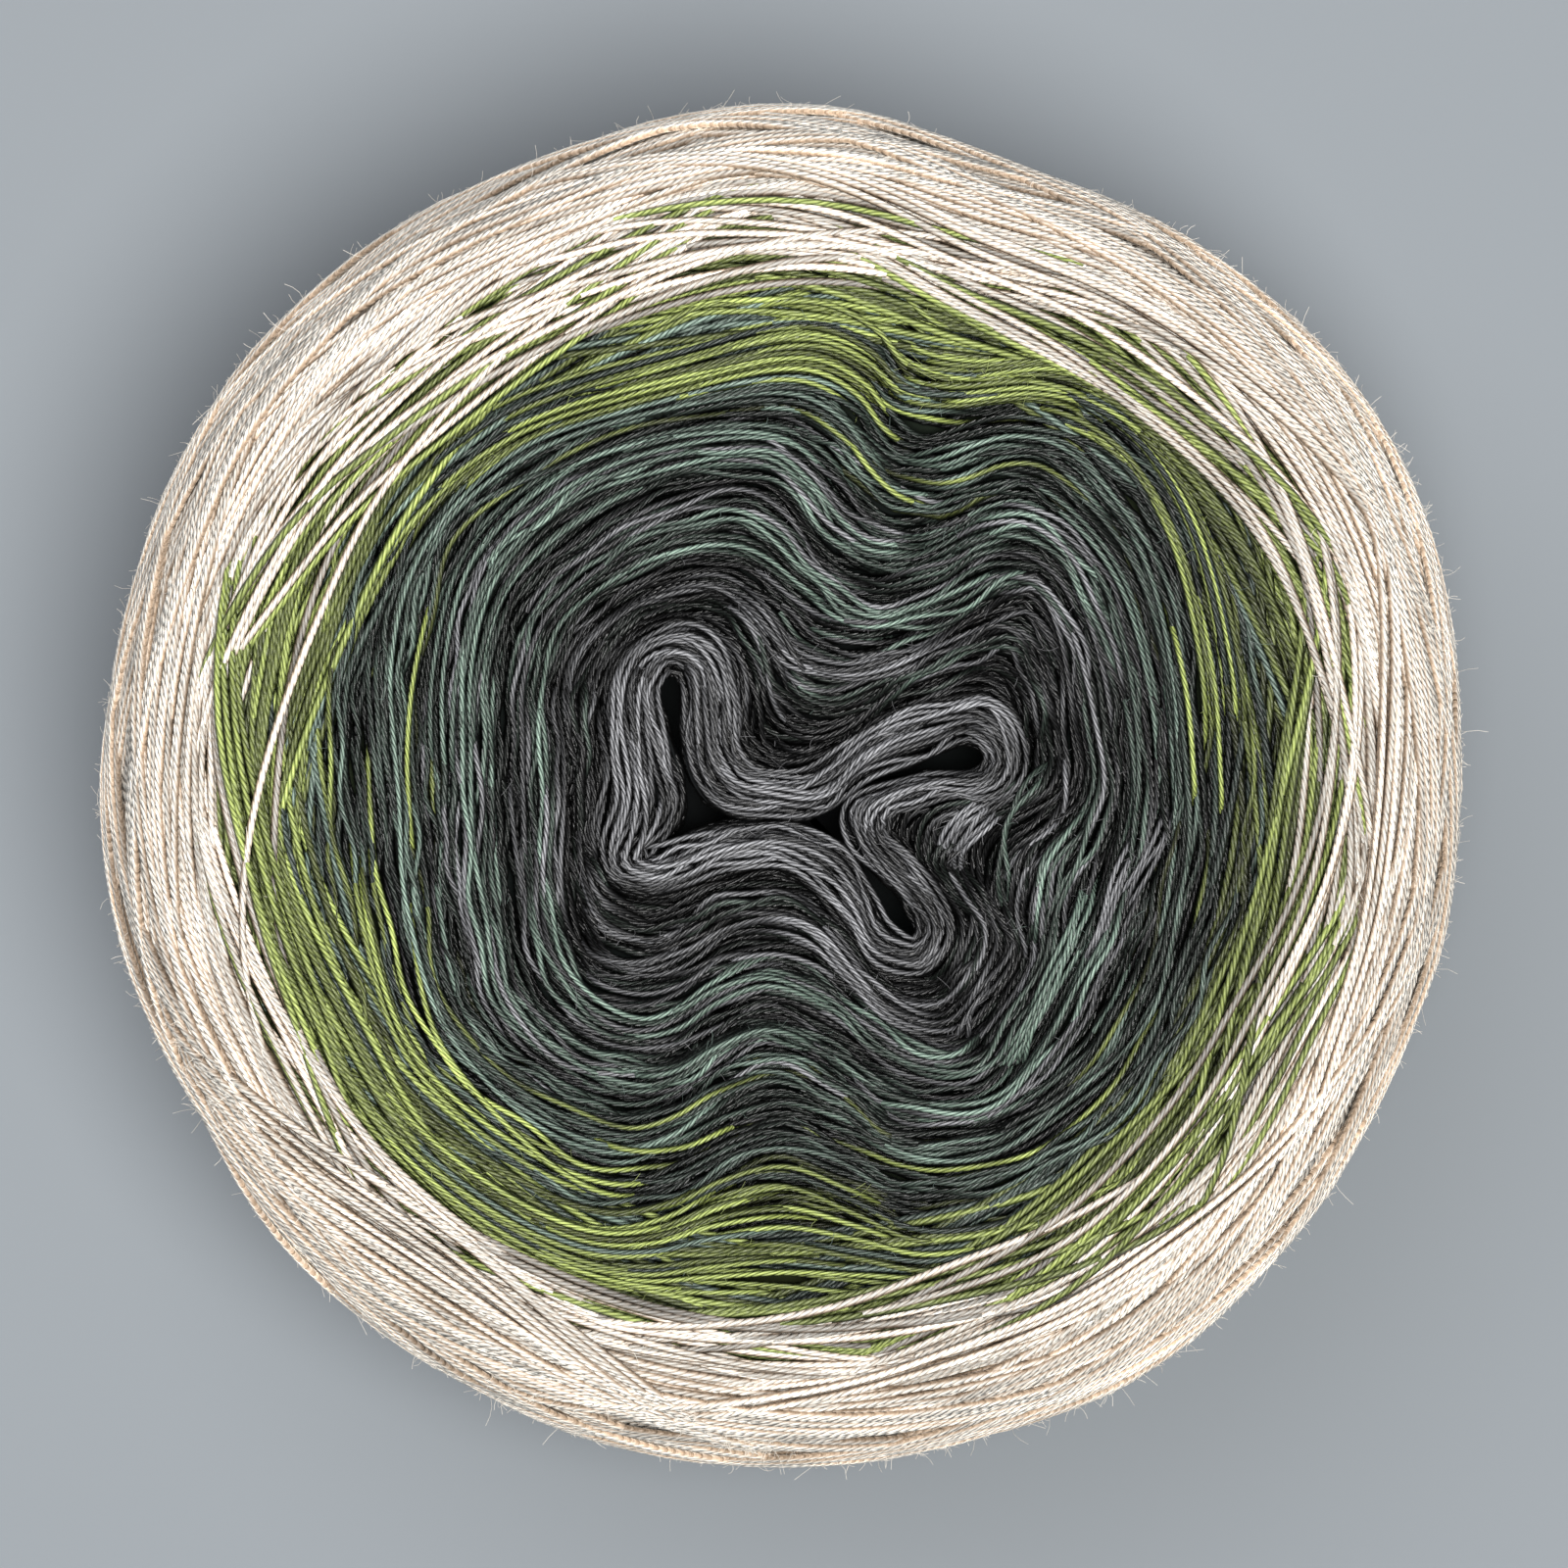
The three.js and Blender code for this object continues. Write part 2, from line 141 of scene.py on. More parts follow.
def closed_curve(points):
    """A smooth closed line through the points. It doesn't overshoot where they crowd."""
    points = np.asarray(points, float)
    before, here, there, beyond = (np.roll(points, 1 - k, axis=0)[:, None, :] for k in range(4))
    knots = [np.zeros((len(points), 1, 1))]
    for a, b in ((before, here), (here, there), (there, beyond)):
        knots.append(knots[-1] + np.sqrt(np.linalg.norm(b - a, axis=2, keepdims=True)) + HAIR)
    t = knots[1] + (knots[2] - knots[1]) * (np.arange(STEPS_PER_FOLD) / STEPS_PER_FOLD)[None, :, None]

    def blend(a, b, start, end):
        return (a * (end - t) + b * (t - start)) / (end - start)

    first = blend(before, here, knots[0], knots[1])
    second = blend(here, there, knots[1], knots[2])
    third = blend(there, beyond, knots[2], knots[3])
    left = blend(first, second, knots[0], knots[2])
    right = blend(second, third, knots[1], knots[3])
    return blend(left, right, knots[1], knots[2]).reshape(-1, 2)


# Two calm laps follow outside the folds, and the last of them is nearly round.
CALM_STEP = 5.5
CALM_RADIUS = 41.0
CALMING = 0.6
laps = [closed_curve([row[lap] for row in FOLDS]) for lap in range(len(FOLDS[0]))]
folds_radius = np.linalg.norm(laps[-1], axis=1, keepdims=True)
outward = laps[-1] / folds_radius
laps.append(outward * (folds_radius + CALM_STEP))
laps.append(outward * (folds_radius + CALM_STEP + CALMING * (CALM_RADIUS - folds_radius)))
laps = np.array(laps)
LAST_LAP = len(laps) - 1


def lap_at(level, at=ALL_ROUND):
    """The line of yarn at a level between two laps. The level may change on the way round."""
    level = np.broadcast_to(level, at.shape)
    inner = np.clip(np.floor(level).astype(int), 0, LAST_LAP - 1)
    return laps[inner, at] + (laps[inner + 1, at] - laps[inner, at]) * (level - inner)[:, None]


def dish(radius):
    inward = np.clip(1 - radius / FACE_RADIUS, 0, 1)
    return WOUND_HEIGHT - DISH_DEPTH * smooth(inward / DISH_REACH)


def patches(table, x, y):
    """The sum of soft oval patches, each given as in the table of hollows."""
    total = np.zeros_like(x)
    for _, at_x, at_y, long, wide, turn, amount in table:
        cos, sin = math.cos(math.radians(turn)), math.sin(math.radians(turn))
        along = ((x - at_x) * cos + (y - at_y) * sin) / long
        across = ((y - at_y) * cos - (x - at_x) * sin) / wide
        total += amount * np.exp(-(along**2) - across**2)
    return total


LOCK_RISE = 2.2
LOCK_ROUNDING = 2.4
LOCK_FOOT = -1.6
WAVE_HEIGHT = 1.4
VALLEY_DEPTH = 1.5
COVERED_DEPTH = 2.1


def relief(level, at=ALL_ROUND):
    """How far the turns stand above the dish: the lock is one round band with a valley outside it, and the
    waves are irregular ridges."""
    level = np.broadcast_to(level, at.shape)
    turn = 2 * np.pi * ROUND[at]
    lock = LOCK_RISE - LOCK_ROUNDING * ((level - 0.34) / 0.50) ** 2
    calming = np.clip((6.5 - level) / 2.5, 0.25, 1.0)
    wander = 1.2 * np.sin(2 * turn + level) + 0.8 * np.sin(7 * turn - 2 * level)
    waves = -WAVE_HEIGHT * calming * np.cos(2 * np.pi * (level - 1) + wander)
    valley = -VALLEY_DEPTH * np.exp(-(((level - 1.05) / 0.22) ** 2))
    return np.where(level <= 1, np.maximum(lock, LOCK_FOOT), waves + valley)


def outer_sink(level):
    """How far the calm turns lie under the later ones that cover them."""
    return COVERED_DEPTH * smooth((np.mean(level) - 4.3) / 1.9)


def folded_line(level, lift=0.0, at=ALL_ROUND):
    """The line at a level of the folded middle, in three dimensions."""
    flat = lap_at(level, at)
    height = dish(np.linalg.norm(flat, axis=1)) + relief(level, at)
    height += lift - outer_sink(level) - patches(HOLLOWS, flat[:, 0], flat[:, 1])
    return np.column_stack([flat, height])


def lobe(angle):
    """How far the winding stands out of the round there."""
    rise = np.zeros_like(angle)
    for at, spread, out in LOBES:
        away = np.angle(np.exp(1j * (angle - math.radians(at))))
        rise += out * np.exp(-((away / math.radians(spread)) ** 2))
    return rise


# The barrel's profile as points of radius and height: over the face, down the side and in underneath. A
# turn's place on the barrel is its angle, its way along this profile from the middle of the face, and its
# lift off it.
FACE_STEPS = 100
SIDE_STEPS = 600
down = np.linspace(0, np.pi, SIDE_STEPS)
out_share = np.sin(down) ** (2 / SHOULDER_SQUARENESS)
up_share = np.sign(np.cos(down)) * np.abs(np.cos(down)) ** (2 / SHOULDER_SQUARENESS)
side_radius = FACE_RADIUS + (WOUND_RADIUS - SIDE_BULGE - FACE_RADIUS) * out_share
side_radius += SIDE_BULGE * np.sin(down) ** 2
face_radius = np.linspace(0, FACE_RADIUS, FACE_STEPS, endpoint=False)
profile = np.concatenate([
    np.column_stack([face_radius, dish(face_radius)]),
    np.column_stack([side_radius, WOUND_HEIGHT / 2 * (1 + up_share)]),
    np.column_stack([face_radius[::-1], np.zeros(FACE_STEPS)]),
])
profile_step = np.diff(profile, axis=0)
profile_way = np.concatenate([[0], np.cumsum(np.linalg.norm(profile_step, axis=1))])
profile_slope = np.gradient(profile, profile_way, axis=0)
profile_slope /= np.linalg.norm(profile_slope, axis=1, keepdims=True)
MID_WAY = float(np.interp(np.pi / 2, down, profile_way[FACE_STEPS:FACE_STEPS + SIDE_STEPS]))


def on_barrel(angle, way, lift):
    """Points on the barrel and the directions that face out of it."""
    radius = np.interp(way, profile_way, profile[:, 0])
    height = np.interp(way, profile_way, profile[:, 1])
    face_out = -np.interp(way, profile_way, profile_slope[:, 1])
    face_up = np.interp(way, profile_way, profile_slope[:, 0])
    scale = np.hypot(face_out, face_up)
    face_out, face_up = face_out / scale, face_up / scale
    standing = radius + lobe(angle) * radius / WOUND_RADIUS + lift * face_out
    cos, sin = np.cos(angle), np.sin(angle)
    points = np.column_stack([standing * cos, standing * sin, height + lift * face_up])
    return points, np.column_stack([face_out * cos, face_out * sin, face_up])


def skin(name, rings, material):
    """A plain skin through rings of points, from the middle outwards."""
    count = len(rings[0])
    mesh = bpy.data.meshes.new(name)
    faces = []
    for r in range(len(rings) - 1):
        for i in range(count):
            j = (i + 1) % count
            faces.append((r * count + i, r * count + j, (r + 1) * count + j, (r + 1) * count + i))
    mesh.from_pydata((np.concatenate(rings) * MILLIMETRE).tolist(), [], faces)
    mesh.polygons.foreach_set("use_smooth", [True] * len(mesh.polygons))
    mesh.materials.append(material)
    piece = bpy.data.objects.new(name, mesh)
    bpy.context.collection.objects.link(piece)
    return piece


def plain_material(name, roughness, specular):
    material = bpy.data.materials.new(name)
    material.use_nodes = True
    shader = material.node_tree.nodes["Principled BSDF"]
    shader.inputs["Roughness"].default_value = roughness
    shader.inputs["Specular IOR Level"].default_value = specular
    return material, material.node_tree, shader


def node(tree, kind, operation=None, values=(), **settings):
    """A shader node. Its values are numbers for its sockets, or outputs of other nodes."""
    made = tree.nodes.new(kind)
    if operation:
        made.operation = operation
    for name, value in settings.items():
        setattr(made, name, value)
    for k, value in enumerate(values):
        if hasattr(value, "node"):
            tree.links.new(value, made.inputs[k])
        else:
            made.inputs[k].default_value = value
    return made


# Its colour is painted shade, far darker than the yarn: nearly black in the middle and a shaded tan under
# the cream turns.
INSIDE_SHADE_COLOURS = [  # the share of the way out, and the colour there
    (0.00, (0.006, 0.006, 0.007)),
    (0.50, (0.007, 0.010, 0.009)),
    (0.66, (0.016, 0.022, 0.010)),
    (0.80, (0.050, 0.055, 0.020)),
    (0.88, (0.330, 0.230, 0.150)),
]
inside_material, tree, shader = plain_material("packed inside", 1.0, 0.1)
place = node(tree, "ShaderNodeTexCoord").outputs["Object"]
flat = node(tree, "ShaderNodeVectorMath", "MULTIPLY", (place, (1, 1, 0))).outputs[0]
from_axis = node(tree, "ShaderNodeVectorMath", "LENGTH", (flat,)).outputs["Value"]
way_out = node(tree, "ShaderNodeMath", "MULTIPLY", (from_axis, 1 / (WOUND_RADIUS * MILLIMETRE))).outputs[0]
zones = node(tree, "ShaderNodeValToRGB", values=(way_out,))
tree.links.new(zones.outputs["Color"], shader.inputs["Base Color"])
while len(zones.color_ramp.elements) < len(INSIDE_SHADE_COLOURS):
    zones.color_ramp.elements.new(1.0)
for stop, (at, colour) in zip(zones.color_ramp.elements, INSIDE_SHADE_COLOURS):
    stop.position = at
    stop.color = (*colour, 1)

SKIN_DEPTH = 2.6
EVERY_FOURTH = slice(None, None, 4)
pit_edge = folded_line(0.0, -1.0)[EVERY_FOURTH]
rings = [np.column_stack([pit_edge[:, :2], np.full(len(pit_edge), PIT_FLOOR)]), pit_edge]
for level in np.arange(0.1, LAST_LAP, 0.1):
    rings.append(folded_line(level, -SKIN_DEPTH)[EVERY_FOURTH])
rim_angle = np.arctan2(laps[LAST_LAP][EVERY_FOURTH, 1], laps[LAST_LAP][EVERY_FOURTH, 0])
for way in np.linspace(FACE_RADIUS - 1, profile_way[-1] - 6, 34):
    rings.append(on_barrel(rim_angle, np.full(len(rim_angle), way), -SKIN_DEPTH)[0])
inside = skin("packed_inside", rings, inside_material)
# The pit's floor has the same painted shade.
pit_bottom = skin("pit_bottom", [rings[0], rings[0] * (0.0, 0.0, 1.0)], inside_material)
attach(inside, "root")
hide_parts("cake")
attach(pit_bottom, "root")

# The folded middle and the calm turns round it, of a soft yarn that runs as a bundle of four thin threads.
# Each band between two laps of the form is filled with such bundles over a layer of sunk threads, and where
# it narrows, some of them dive under the rest.
THREAD_RADIUS = 0.345
THREAD_SIDES = 5
FOLDED_RADIUS = 0.27
FOLDED_PITCH = 0.47
ABREAST = 4
BANDS = [  # inner lap, bundles abreast, sunk threads, and the shares of grey, teal and green
    (0, 4, 11, (0.98, 0.02, 0.0)),
    (1, 6, 14, (0.82, 0.18, 0.0)),
    (2, 4, 10, (0.50, 0.50, 0.0)),
    (3, 4, 9, (0.20, 0.80, 0.0)),
    (4, 4, 10, (0.08, 0.86, 0.06)),
    (5, 3, 9, (0.0, 0.70, 0.30)),
    (6, 3, 6, (0.0, 0.30, 0.70)),
]
DIVE_DEPTH = 1.8
OUT_OF_SIGHT = 0.97
SUNK_DEPTH = 1.25
SUNK_THREAD = (0.36, 4)  # radius and sides
WALL_THREADS = 9
WALL_THREAD = (0.33, 4)
PIT_CLEARANCE = 0.3
FOLDED_STRAY = 0.33
FOLDED_BOB = 0.30
SHORTEST_RUN = 4
# The painted light and shade on the threads: the height in millimetres that takes it from cleft to crest,
# its base in the lock and in the waves, and its random spread.
LIGHT_DEPTH = 4.5
LOCK_LIGHT = 0.20
WAVE_LIGHT = 0.40
UNEVEN_LIGHT = 0.32
UPWARD = np.array([0.0, 0.0, 1.0])
chance = np.random.default_rng(7)
runs = {"cream": [], "green": [], "teal": [], "grey": []}


def sway(way, reach, shortest, longest, closed=False):
    """A gentle wander along a thread, in millimetres, that comes back to its start on a closed turn."""
    total = np.zeros_like(way)
    for _ in range(4):
        waves = way[-1] / chance.uniform(shortest, longest)
        if closed:
            waves = max(round(waves), 1)
        total += np.sin(2 * np.pi * waves * way / way[-1] + chance.uniform(0, 2 * np.pi))
    return reach * total / 2


def length_along(points):
    """The way along a line to each of its points."""
    return np.concatenate([[0], np.cumsum(np.linalg.norm(np.diff(points, axis=0), axis=1))])


def evenly(points, step, *others):
    """The same line with its points a fixed distance apart, and other values carried along."""
    way = length_along(points)
    count = max(int(round(way[-1] / step)), 2) + 1
    at = np.linspace(0, way[-1], count)
    moved = []
    for line in (points, *others):
        columns = line[:, None] if line.ndim == 1 else line
        spaced = np.column_stack([np.interp(at, way, columns[:, k]) for k in range(columns.shape[1])])
        moved.append(spaced[:, 0] if line.ndim == 1 else spaced)
    return moved


def lay_thread(colour, points, ups, light, radius=THREAD_RADIUS, sides=THREAD_SIDES):
    """Keeps a run of thread. Its light is painted light and shade in its colour, for the daylight that
    would reach it: 0 in a cleft and 1 on a crest.
    """
    light = np.clip(np.broadcast_to(light, len(points)), 0, 1)
    thickness = radius * chance.uniform(0.94, 1.06)
    runs[colour].append((points, ups, thickness, sides, light, chance.uniform(0, 1)))


def dive_order(count):
    """Spreads the bundles that stay up evenly over the band: 0 stays up longest and 1 dives first."""
    order = np.argsort(np.argsort([int(f"{i:03b}"[::-1], 2) for i in range(count)]))
    return order / count


# Painted highlights and painted shade, where the turns would face the light, turn away from it or lie in a
# cleft: the middle in x and y, half length, half width, turn in degrees, and how much lighter they are
# painted there.
LIGHT_PATCHES = [
    ("left leg", -12.6, 1.6, 4.4, 2.8, 88, 0.40),
    ("foot of the left leg", -11.0, -3.0, 2.2, 1.6, 30, -0.22),
    ("other leg of the left hook", -5.6, 5.2, 4.0, 1.3, 95, 0.34),
    ("bottom of the bowl", -1.6, -1.0, 3.6, 1.0, -35, 0.30),
    ("middle of the bowl", 0.4, 6.0, 3.4, 3.0, 0, -0.16),
    ("crest under the bowl", -3.0, -5.2, 7.0, 2.0, 8, 0.46),
    ("lower hook", 9.5, -11.0, 5.0, 2.6, -55, 0.20),
    ("slot left of the foot", -17.6, -3.0, 8.0, 0.8, 92, -0.40),
    ("slot between the lower waves", -6.0, -10.9, 7.0, 0.8, 10, -0.30),
    ("teal over the top", 2.0, 30.0, 22.0, 5.0, 0, 0.10),
    ("edge of the right hook", 18.0, 2.0, 3.4, 1.4, 70, 0.24),
    ("shoulder of the left hook", -15.0, 14.4, 4.0, 1.4, 42, 0.26),
    ("crescent over the left hook", -8.6, 15.2, 5.2, 0.9, 4, -0.30),
    ("wave over the bowl", 6.0, 15.0, 6.0, 1.6, -25, 0.18),
    ("lower left waves", -13.2, -15.6, 3.0, 2.4, 0, 0.16),
    ("hole by the tuft", 16.9, -5.6, 3.0, 1.5, 52, -1.00),
    ("left flank", -30.5, 6.0, 20.0, 6.0, 90, 0.15),
    ("green at the left", -41.0, 2.0, 22.0, 5.0, 90, 0.08),
    ("green over the top", -4.0, 40.0, 24.0, 5.0, 0, 0.10),
    ("green at the right", 38.0, -4.0, 22.0, 5.0, 90, -0.18),
    ("green along the bottom", 0.0, -41.0, 24.0, 5.0, 0, -0.12),
    ("cream over the top", 0.0, 54.0, 24.0, 5.0, 0, 0.08),
    ("cream at the lower right", 40.0, -36.0, 18.0, 6.0, 42, 0.07),
]


def painted_light_at(points):
    """How much lighter a thread is painted than its depth would give, in patches and ripples: painted
    highlight and painted shade.
    """
    x, y = points[:, 0], points[:, 1]
    fine = 0.10 * np.sin(1.1 * x + 0.5 * y + 1) * np.sin(0.9 * y - 0.4 * x)
    broad = 0.07 * np.sin(0.5 * x - 0.8 * y + 2)
    return fine + broad + patches(LIGHT_PATCHES, x, y)


def close_turn(line):
    """Starts a closed turn at a place of its own, so that no two turns join at the same spot."""
    line = np.roll(line, int(chance.integers(0, len(line))), axis=0)
    return np.concatenate([line, line[:1]])


def lay_folded(colour, line, level, step, look, offset=0.0, lift=0.0, dive=0.0, extra_light=0.0):
    """One thread of a folded turn, beside the middle line of its bundle. Its look is its radius and sides.
    What has dived out of sight is left out."""
    ahead = np.roll(line, -1, axis=0) - np.roll(line, 1, axis=0)
    across = np.column_stack([-ahead[:, 1], ahead[:, 0]])
    across /= np.linalg.norm(across, axis=1, keepdims=True) + HAIR
    line = line + np.outer(np.broadcast_to(lift, len(line)), UPWARD)
    turn = close_turn(np.column_stack([line, across, np.broadcast_to(dive, len(line))]))
    way = length_along(turn[:, :3])
    aside = offset + (PIT_CLEARANCE if level < 1 else 0.0) + sway(way, FOLDED_STRAY, 5, 24, True)
    turn[:, :2] += turn[:, 3:5] * aside[:, None]
    turn[:, 2] += sway(way, FOLDED_BOB, 5, 26, True)
    points, hidden = evenly(turn[:, :3], step, turn[:, 5])
    # Painted shade and highlight: the lower a thread lies under the crests, the darker it is painted, and
    # the patches make it lighter or darker.
    stands = points[:, 2] - dish(np.linalg.norm(points[:, :2], axis=1)) + outer_sink(level)
    light = (LOCK_LIGHT if level < 1 else WAVE_LIGHT) + stands / LIGHT_DEPTH + painted_light_at(points) + extra_light
    light += chance.uniform(-UNEVEN_LIGHT, UNEVEN_LIGHT)
    shown = np.concatenate([[False], hidden < OUT_OF_SIGHT, [False]]).astype(int)
    edges = np.flatnonzero(np.diff(shown))
    for first, last in zip(edges[::2], edges[1::2]):
        if last - first > SHORTEST_RUN:
            ups = np.tile(UPWARD, (last - first, 1))
            lay_thread(colour, points[first:last], ups, light[first:last], *look)


for inner, bundles, under, mix in BANDS:
    width = np.linalg.norm(laps[inner + 1] - laps[inner], axis=1)
    room = width / (ABREAST * FOLDED_PITCH)
    for b, rank in enumerate(dive_order(bundles)):
        drift = sway(ROUND, 0.22 / bundles, 0.12, 0.5, True) if inner else 0.0
        level = inner + (b + 0.5) / bundles
        line = folded_line(level + drift)
        dive = smooth((rank - room / bundles) / 0.25 + 0.5)
        line[:, 2] += sway(ROUND, 0.7, 0.08, 0.4, True) - DIVE_DEPTH * dive
        extra_light = chance.uniform(-0.10, 0.12)
        for i in range(ABREAST):
            colour = chance.choice(["grey", "teal", "green"], p=mix)
            beside = i - (ABREAST - 1) / 2
            lift = -0.24 * beside**2 + chance.uniform(-0.4, 0.3)
            if colour == "green":
                lift = lift + 0.3 + sway(ROUND, 0.8, 0.2, 0.6, True)
            offset = beside * FOLDED_PITCH + chance.uniform(-0.1, 0.1)
            lay_folded(colour, line, level, 1.0, (FOLDED_RADIUS, THREAD_SIDES), offset, lift, dive, extra_light)
    for i in range(under):
        level = inner + (i + 0.5) / under
        colour = chance.choice(["grey", "teal", "green"], p=mix)
        lay_folded(colour, folded_line(level, -SUNK_DEPTH), level, 2.0, SUNK_THREAD, extra_light=-0.10)

# The wall of the pit, of grey turns one under another.
for depth in range(1, WALL_THREADS):
    lay_folded("grey", folded_line(0.0, -0.6 * depth - 0.2), 0, 1.2, WALL_THREAD)


# Single strands of the same yarn that have slipped out of their bundles and lie on top, along a wave. The
# columns are their colour, the folds where they come up and go down again, their level at both, and how
# high they lie.
SLIPPED = [
    ("green", 35.3, 38.8, 4.45, 4.30, 1.3),
    ("green", 4.4, 9.4, 4.85, 4.75, 1.4),
    ("green", 4.0, 8.6, 5.00, 4.95, 1.2),
    ("green", 6.8, 11.4, 4.30, 4.15, 1.5),
    ("green", 31.6, 35.4, 5.45, 4.60, 1.2),
    ("green", 29.8, 32.6, 4.95, 4.60, 1.3),
    ("green", 16.4, 18.6, 4.60, 4.70, 1.5),
    ("green", 16.2, 19.0, 5.15, 5.20, 1.4),
    ("teal", 20.2, 25.0, 3.05, 3.00, 1.3),
    ("teal", 20.4, 24.8, 2.92, 2.90, 1.2),
    ("teal", 20.6, 25.2, 3.18, 3.10, 1.1),
    ("teal", 5.0, 9.0, 2.30, 2.50, 1.4),
    ("teal", 27.6, 33.0, 2.60, 2.70, 1.4),
    ("teal", 28.0, 32.4, 3.40, 3.30, 1.4),
]
STRAY_DIVE = 3.2


def lay_stray(colour, first, last, level_first, level_last, lift, light):
    """A strand that comes up out of the folds, follows them for a while on its own and goes down again."""
    at = np.arange(int(first * STEPS_PER_FOLD), int(last * STEPS_PER_FOLD))
    share = np.linspace(0, 1, len(at))
    rise = lift - STRAY_DIVE * (1 - smooth(np.minimum(share, 1 - share) / 0.2))
    level = level_first + (level_last - level_first) * smooth(share)
    (points,) = evenly(folded_line(level, rise, at % STEPS_ROUND), 1.0)
    lay_thread(colour, points, np.tile(UPWARD, (len(points), 1)), light, FOLDED_RADIUS)


# Lying on top, they are painted with good light.
for colour, first, last, level_first, level_last, lift in SLIPPED:
    lay_stray(colour, first, last, level_first, level_last, lift, 0.78)

# Many more cross from one bundle to the next all over the folds.
CROSSING_STRANDS = 120
for k in range(CROSSING_STRANDS):
    in_lock = k % 5 == 0
    level = chance.uniform(0.15, 0.75) if in_lock else chance.uniform(1.4, 4.6)
    reach = chance.uniform(-0.1, 0.1) if in_lock else chance.uniform(-0.3, 0.3)
    colour = "grey" if level + chance.uniform(-0.9, 0.9) < 2.6 else "teal"
    start = chance.uniform(0, len(FOLDS))
    end = start + chance.uniform(2.5, 7.0)
    lift = chance.uniform(0.2, 0.6)
    lay_stray(colour, start, end, level, max(level + reach, 0.1), lift, chance.uniform(0.3, 0.9))

# Bundles of the yarn that have come free of the folds on the right, and the tuft beside the lock. The
# columns are their colour, light and threads abreast, then their middle line as x, y and height over the
# folds.
FREE = [
    ("teal", 0.50, 2, (
        (24.6, 2.4, -4.0), (22.0, 1.0, 0.8), (20.0, -0.3, 1.0), (18.9, -2.2, 0.9),
        (18.5, -5.0, 0.9), (18.8, -8.0, 0.8), (19.3, -12.0, -4.0),
    )),
    ("grey", 0.80, 1, (
        (23.7, 3.6, -4.0), (23.8, 1.5, 1.1), (23.9, 0.0, 1.1), (24.1, -1.4, 0.9), (24.3, -3.2, -4.0),
    )),
    ("teal", 0.80, 3, (
        (26.3, -7.6, -4.0), (25.6, -10.0, 1.2), (24.2, -13.4, 1.4), (22.4, -16.8, 1.4),
        (21.0, -19.8, 1.2), (20.2, -22.2, 0.9), (19.6, -24.8, -4.0),
    )),
    ("grey", 0.80, 3, (
        (31.0, -3.2, -4.0), (29.6, -5.6, 1.2), (27.8, -8.8, 1.4),
        (27.0, -12.0, 1.3), (26.4, -14.6, 1.0), (25.8, -17.4, -4.0),
    )),
    ("grey", 0.70, 3, (
        (33.4, -1.2, -4.0), (32.2, -3.8, 1.2), (30.4, -7.2, 1.3), (29.2, -9.4, 1.0), (28.4, -12.4, -4.0),
    )),
    ("grey", 0.98, 6, (
        (18.2, -1.4, -1.6), (16.6, -2.5, 1.9), (15.2, -3.7, 2.4), (14.3, -5.3, 2.1), (13.7, -7.8, -4.0),
    )),
    ("grey", 0.35, 2, (
        (19.0, -14.8, -4.0), (17.0, -15.2, 0.8), (15.0, -15.6, 1.0),
        (14.2, -16.8, 1.0), (14.3, -18.2, 0.8), (15.2, -20.4, -5.0),
    )),
    ("grey", 0.60, 2, (
        (18.2, -15.8, -4.0), (17.0, -17.4, 0.8), (15.8, -19.2, 1.0),
        (15.2, -21.0, 0.8), (15.4, -22.4, -5.0),
    )),
]
FREE_STEPS = 60
SMOOTHINGS = 60
for colour, light, abreast, knots in FREE:
    knots = np.array(knots)
    way = length_along(knots)
    fine = np.linspace(0, way[-1], FREE_STEPS)
    line = np.column_stack([np.interp(fine, way, knots[:, k]) for k in range(3)])
    for _ in range(SMOOTHINGS):
        line[1:-1] = 0.25 * line[:-2] + 0.5 * line[1:-1] + 0.25 * line[2:]
    line[:, 2] += dish(np.linalg.norm(line[:, :2], axis=1)) - 0.8 * patches(HOLLOWS, line[:, 0], line[:, 1])
    ahead = np.gradient(line, axis=0)
    across = np.cross(UPWARD, ahead)
    across /= np.linalg.norm(across, axis=1, keepdims=True)
    for i in range(abreast):
        aside = (i - (abreast - 1) / 2) * FOLDED_PITCH + sway(fine, 0.22, 5, 20)
        thread = line + across * aside[:, None] + np.outer(sway(fine, 0.15, 5, 20), UPWARD)
        (points,) = evenly(thread, 0.7)
        own_light = light + chance.uniform(-0.15, 0.15)
        lay_thread(colour, points, np.tile(UPWARD, (len(points), 1)), own_light, FOLDED_RADIUS)


# The green turns on the face. The winder laid each bundle of threads in a tilted ring over the face near
# its foot, down the side, under the base and back, so on the face it lies in a shallow bow. Later turns lie
# a little higher than earlier ones.
THREAD_PITCH = 0.70
BED_ON_FACE = -1.6
BED_ON_SIDE = -4.9
FACE_GROWTH = 1.7
OVER_FACE = 0.45
RIM_GROWTH = 1.9
GOLDEN = math.radians(137.508)
LATER_DYE_LIFT = {"teal": -0.12, "green": 0.0, "cream": 0.32}
EDGE_RADIUS = 55.5


def bed(way):
    """How far under the barrel's surface the outer turns begin."""
    return BED_ON_FACE + (BED_ON_SIDE - BED_ON_FACE) * smooth((way - 43) / 10)


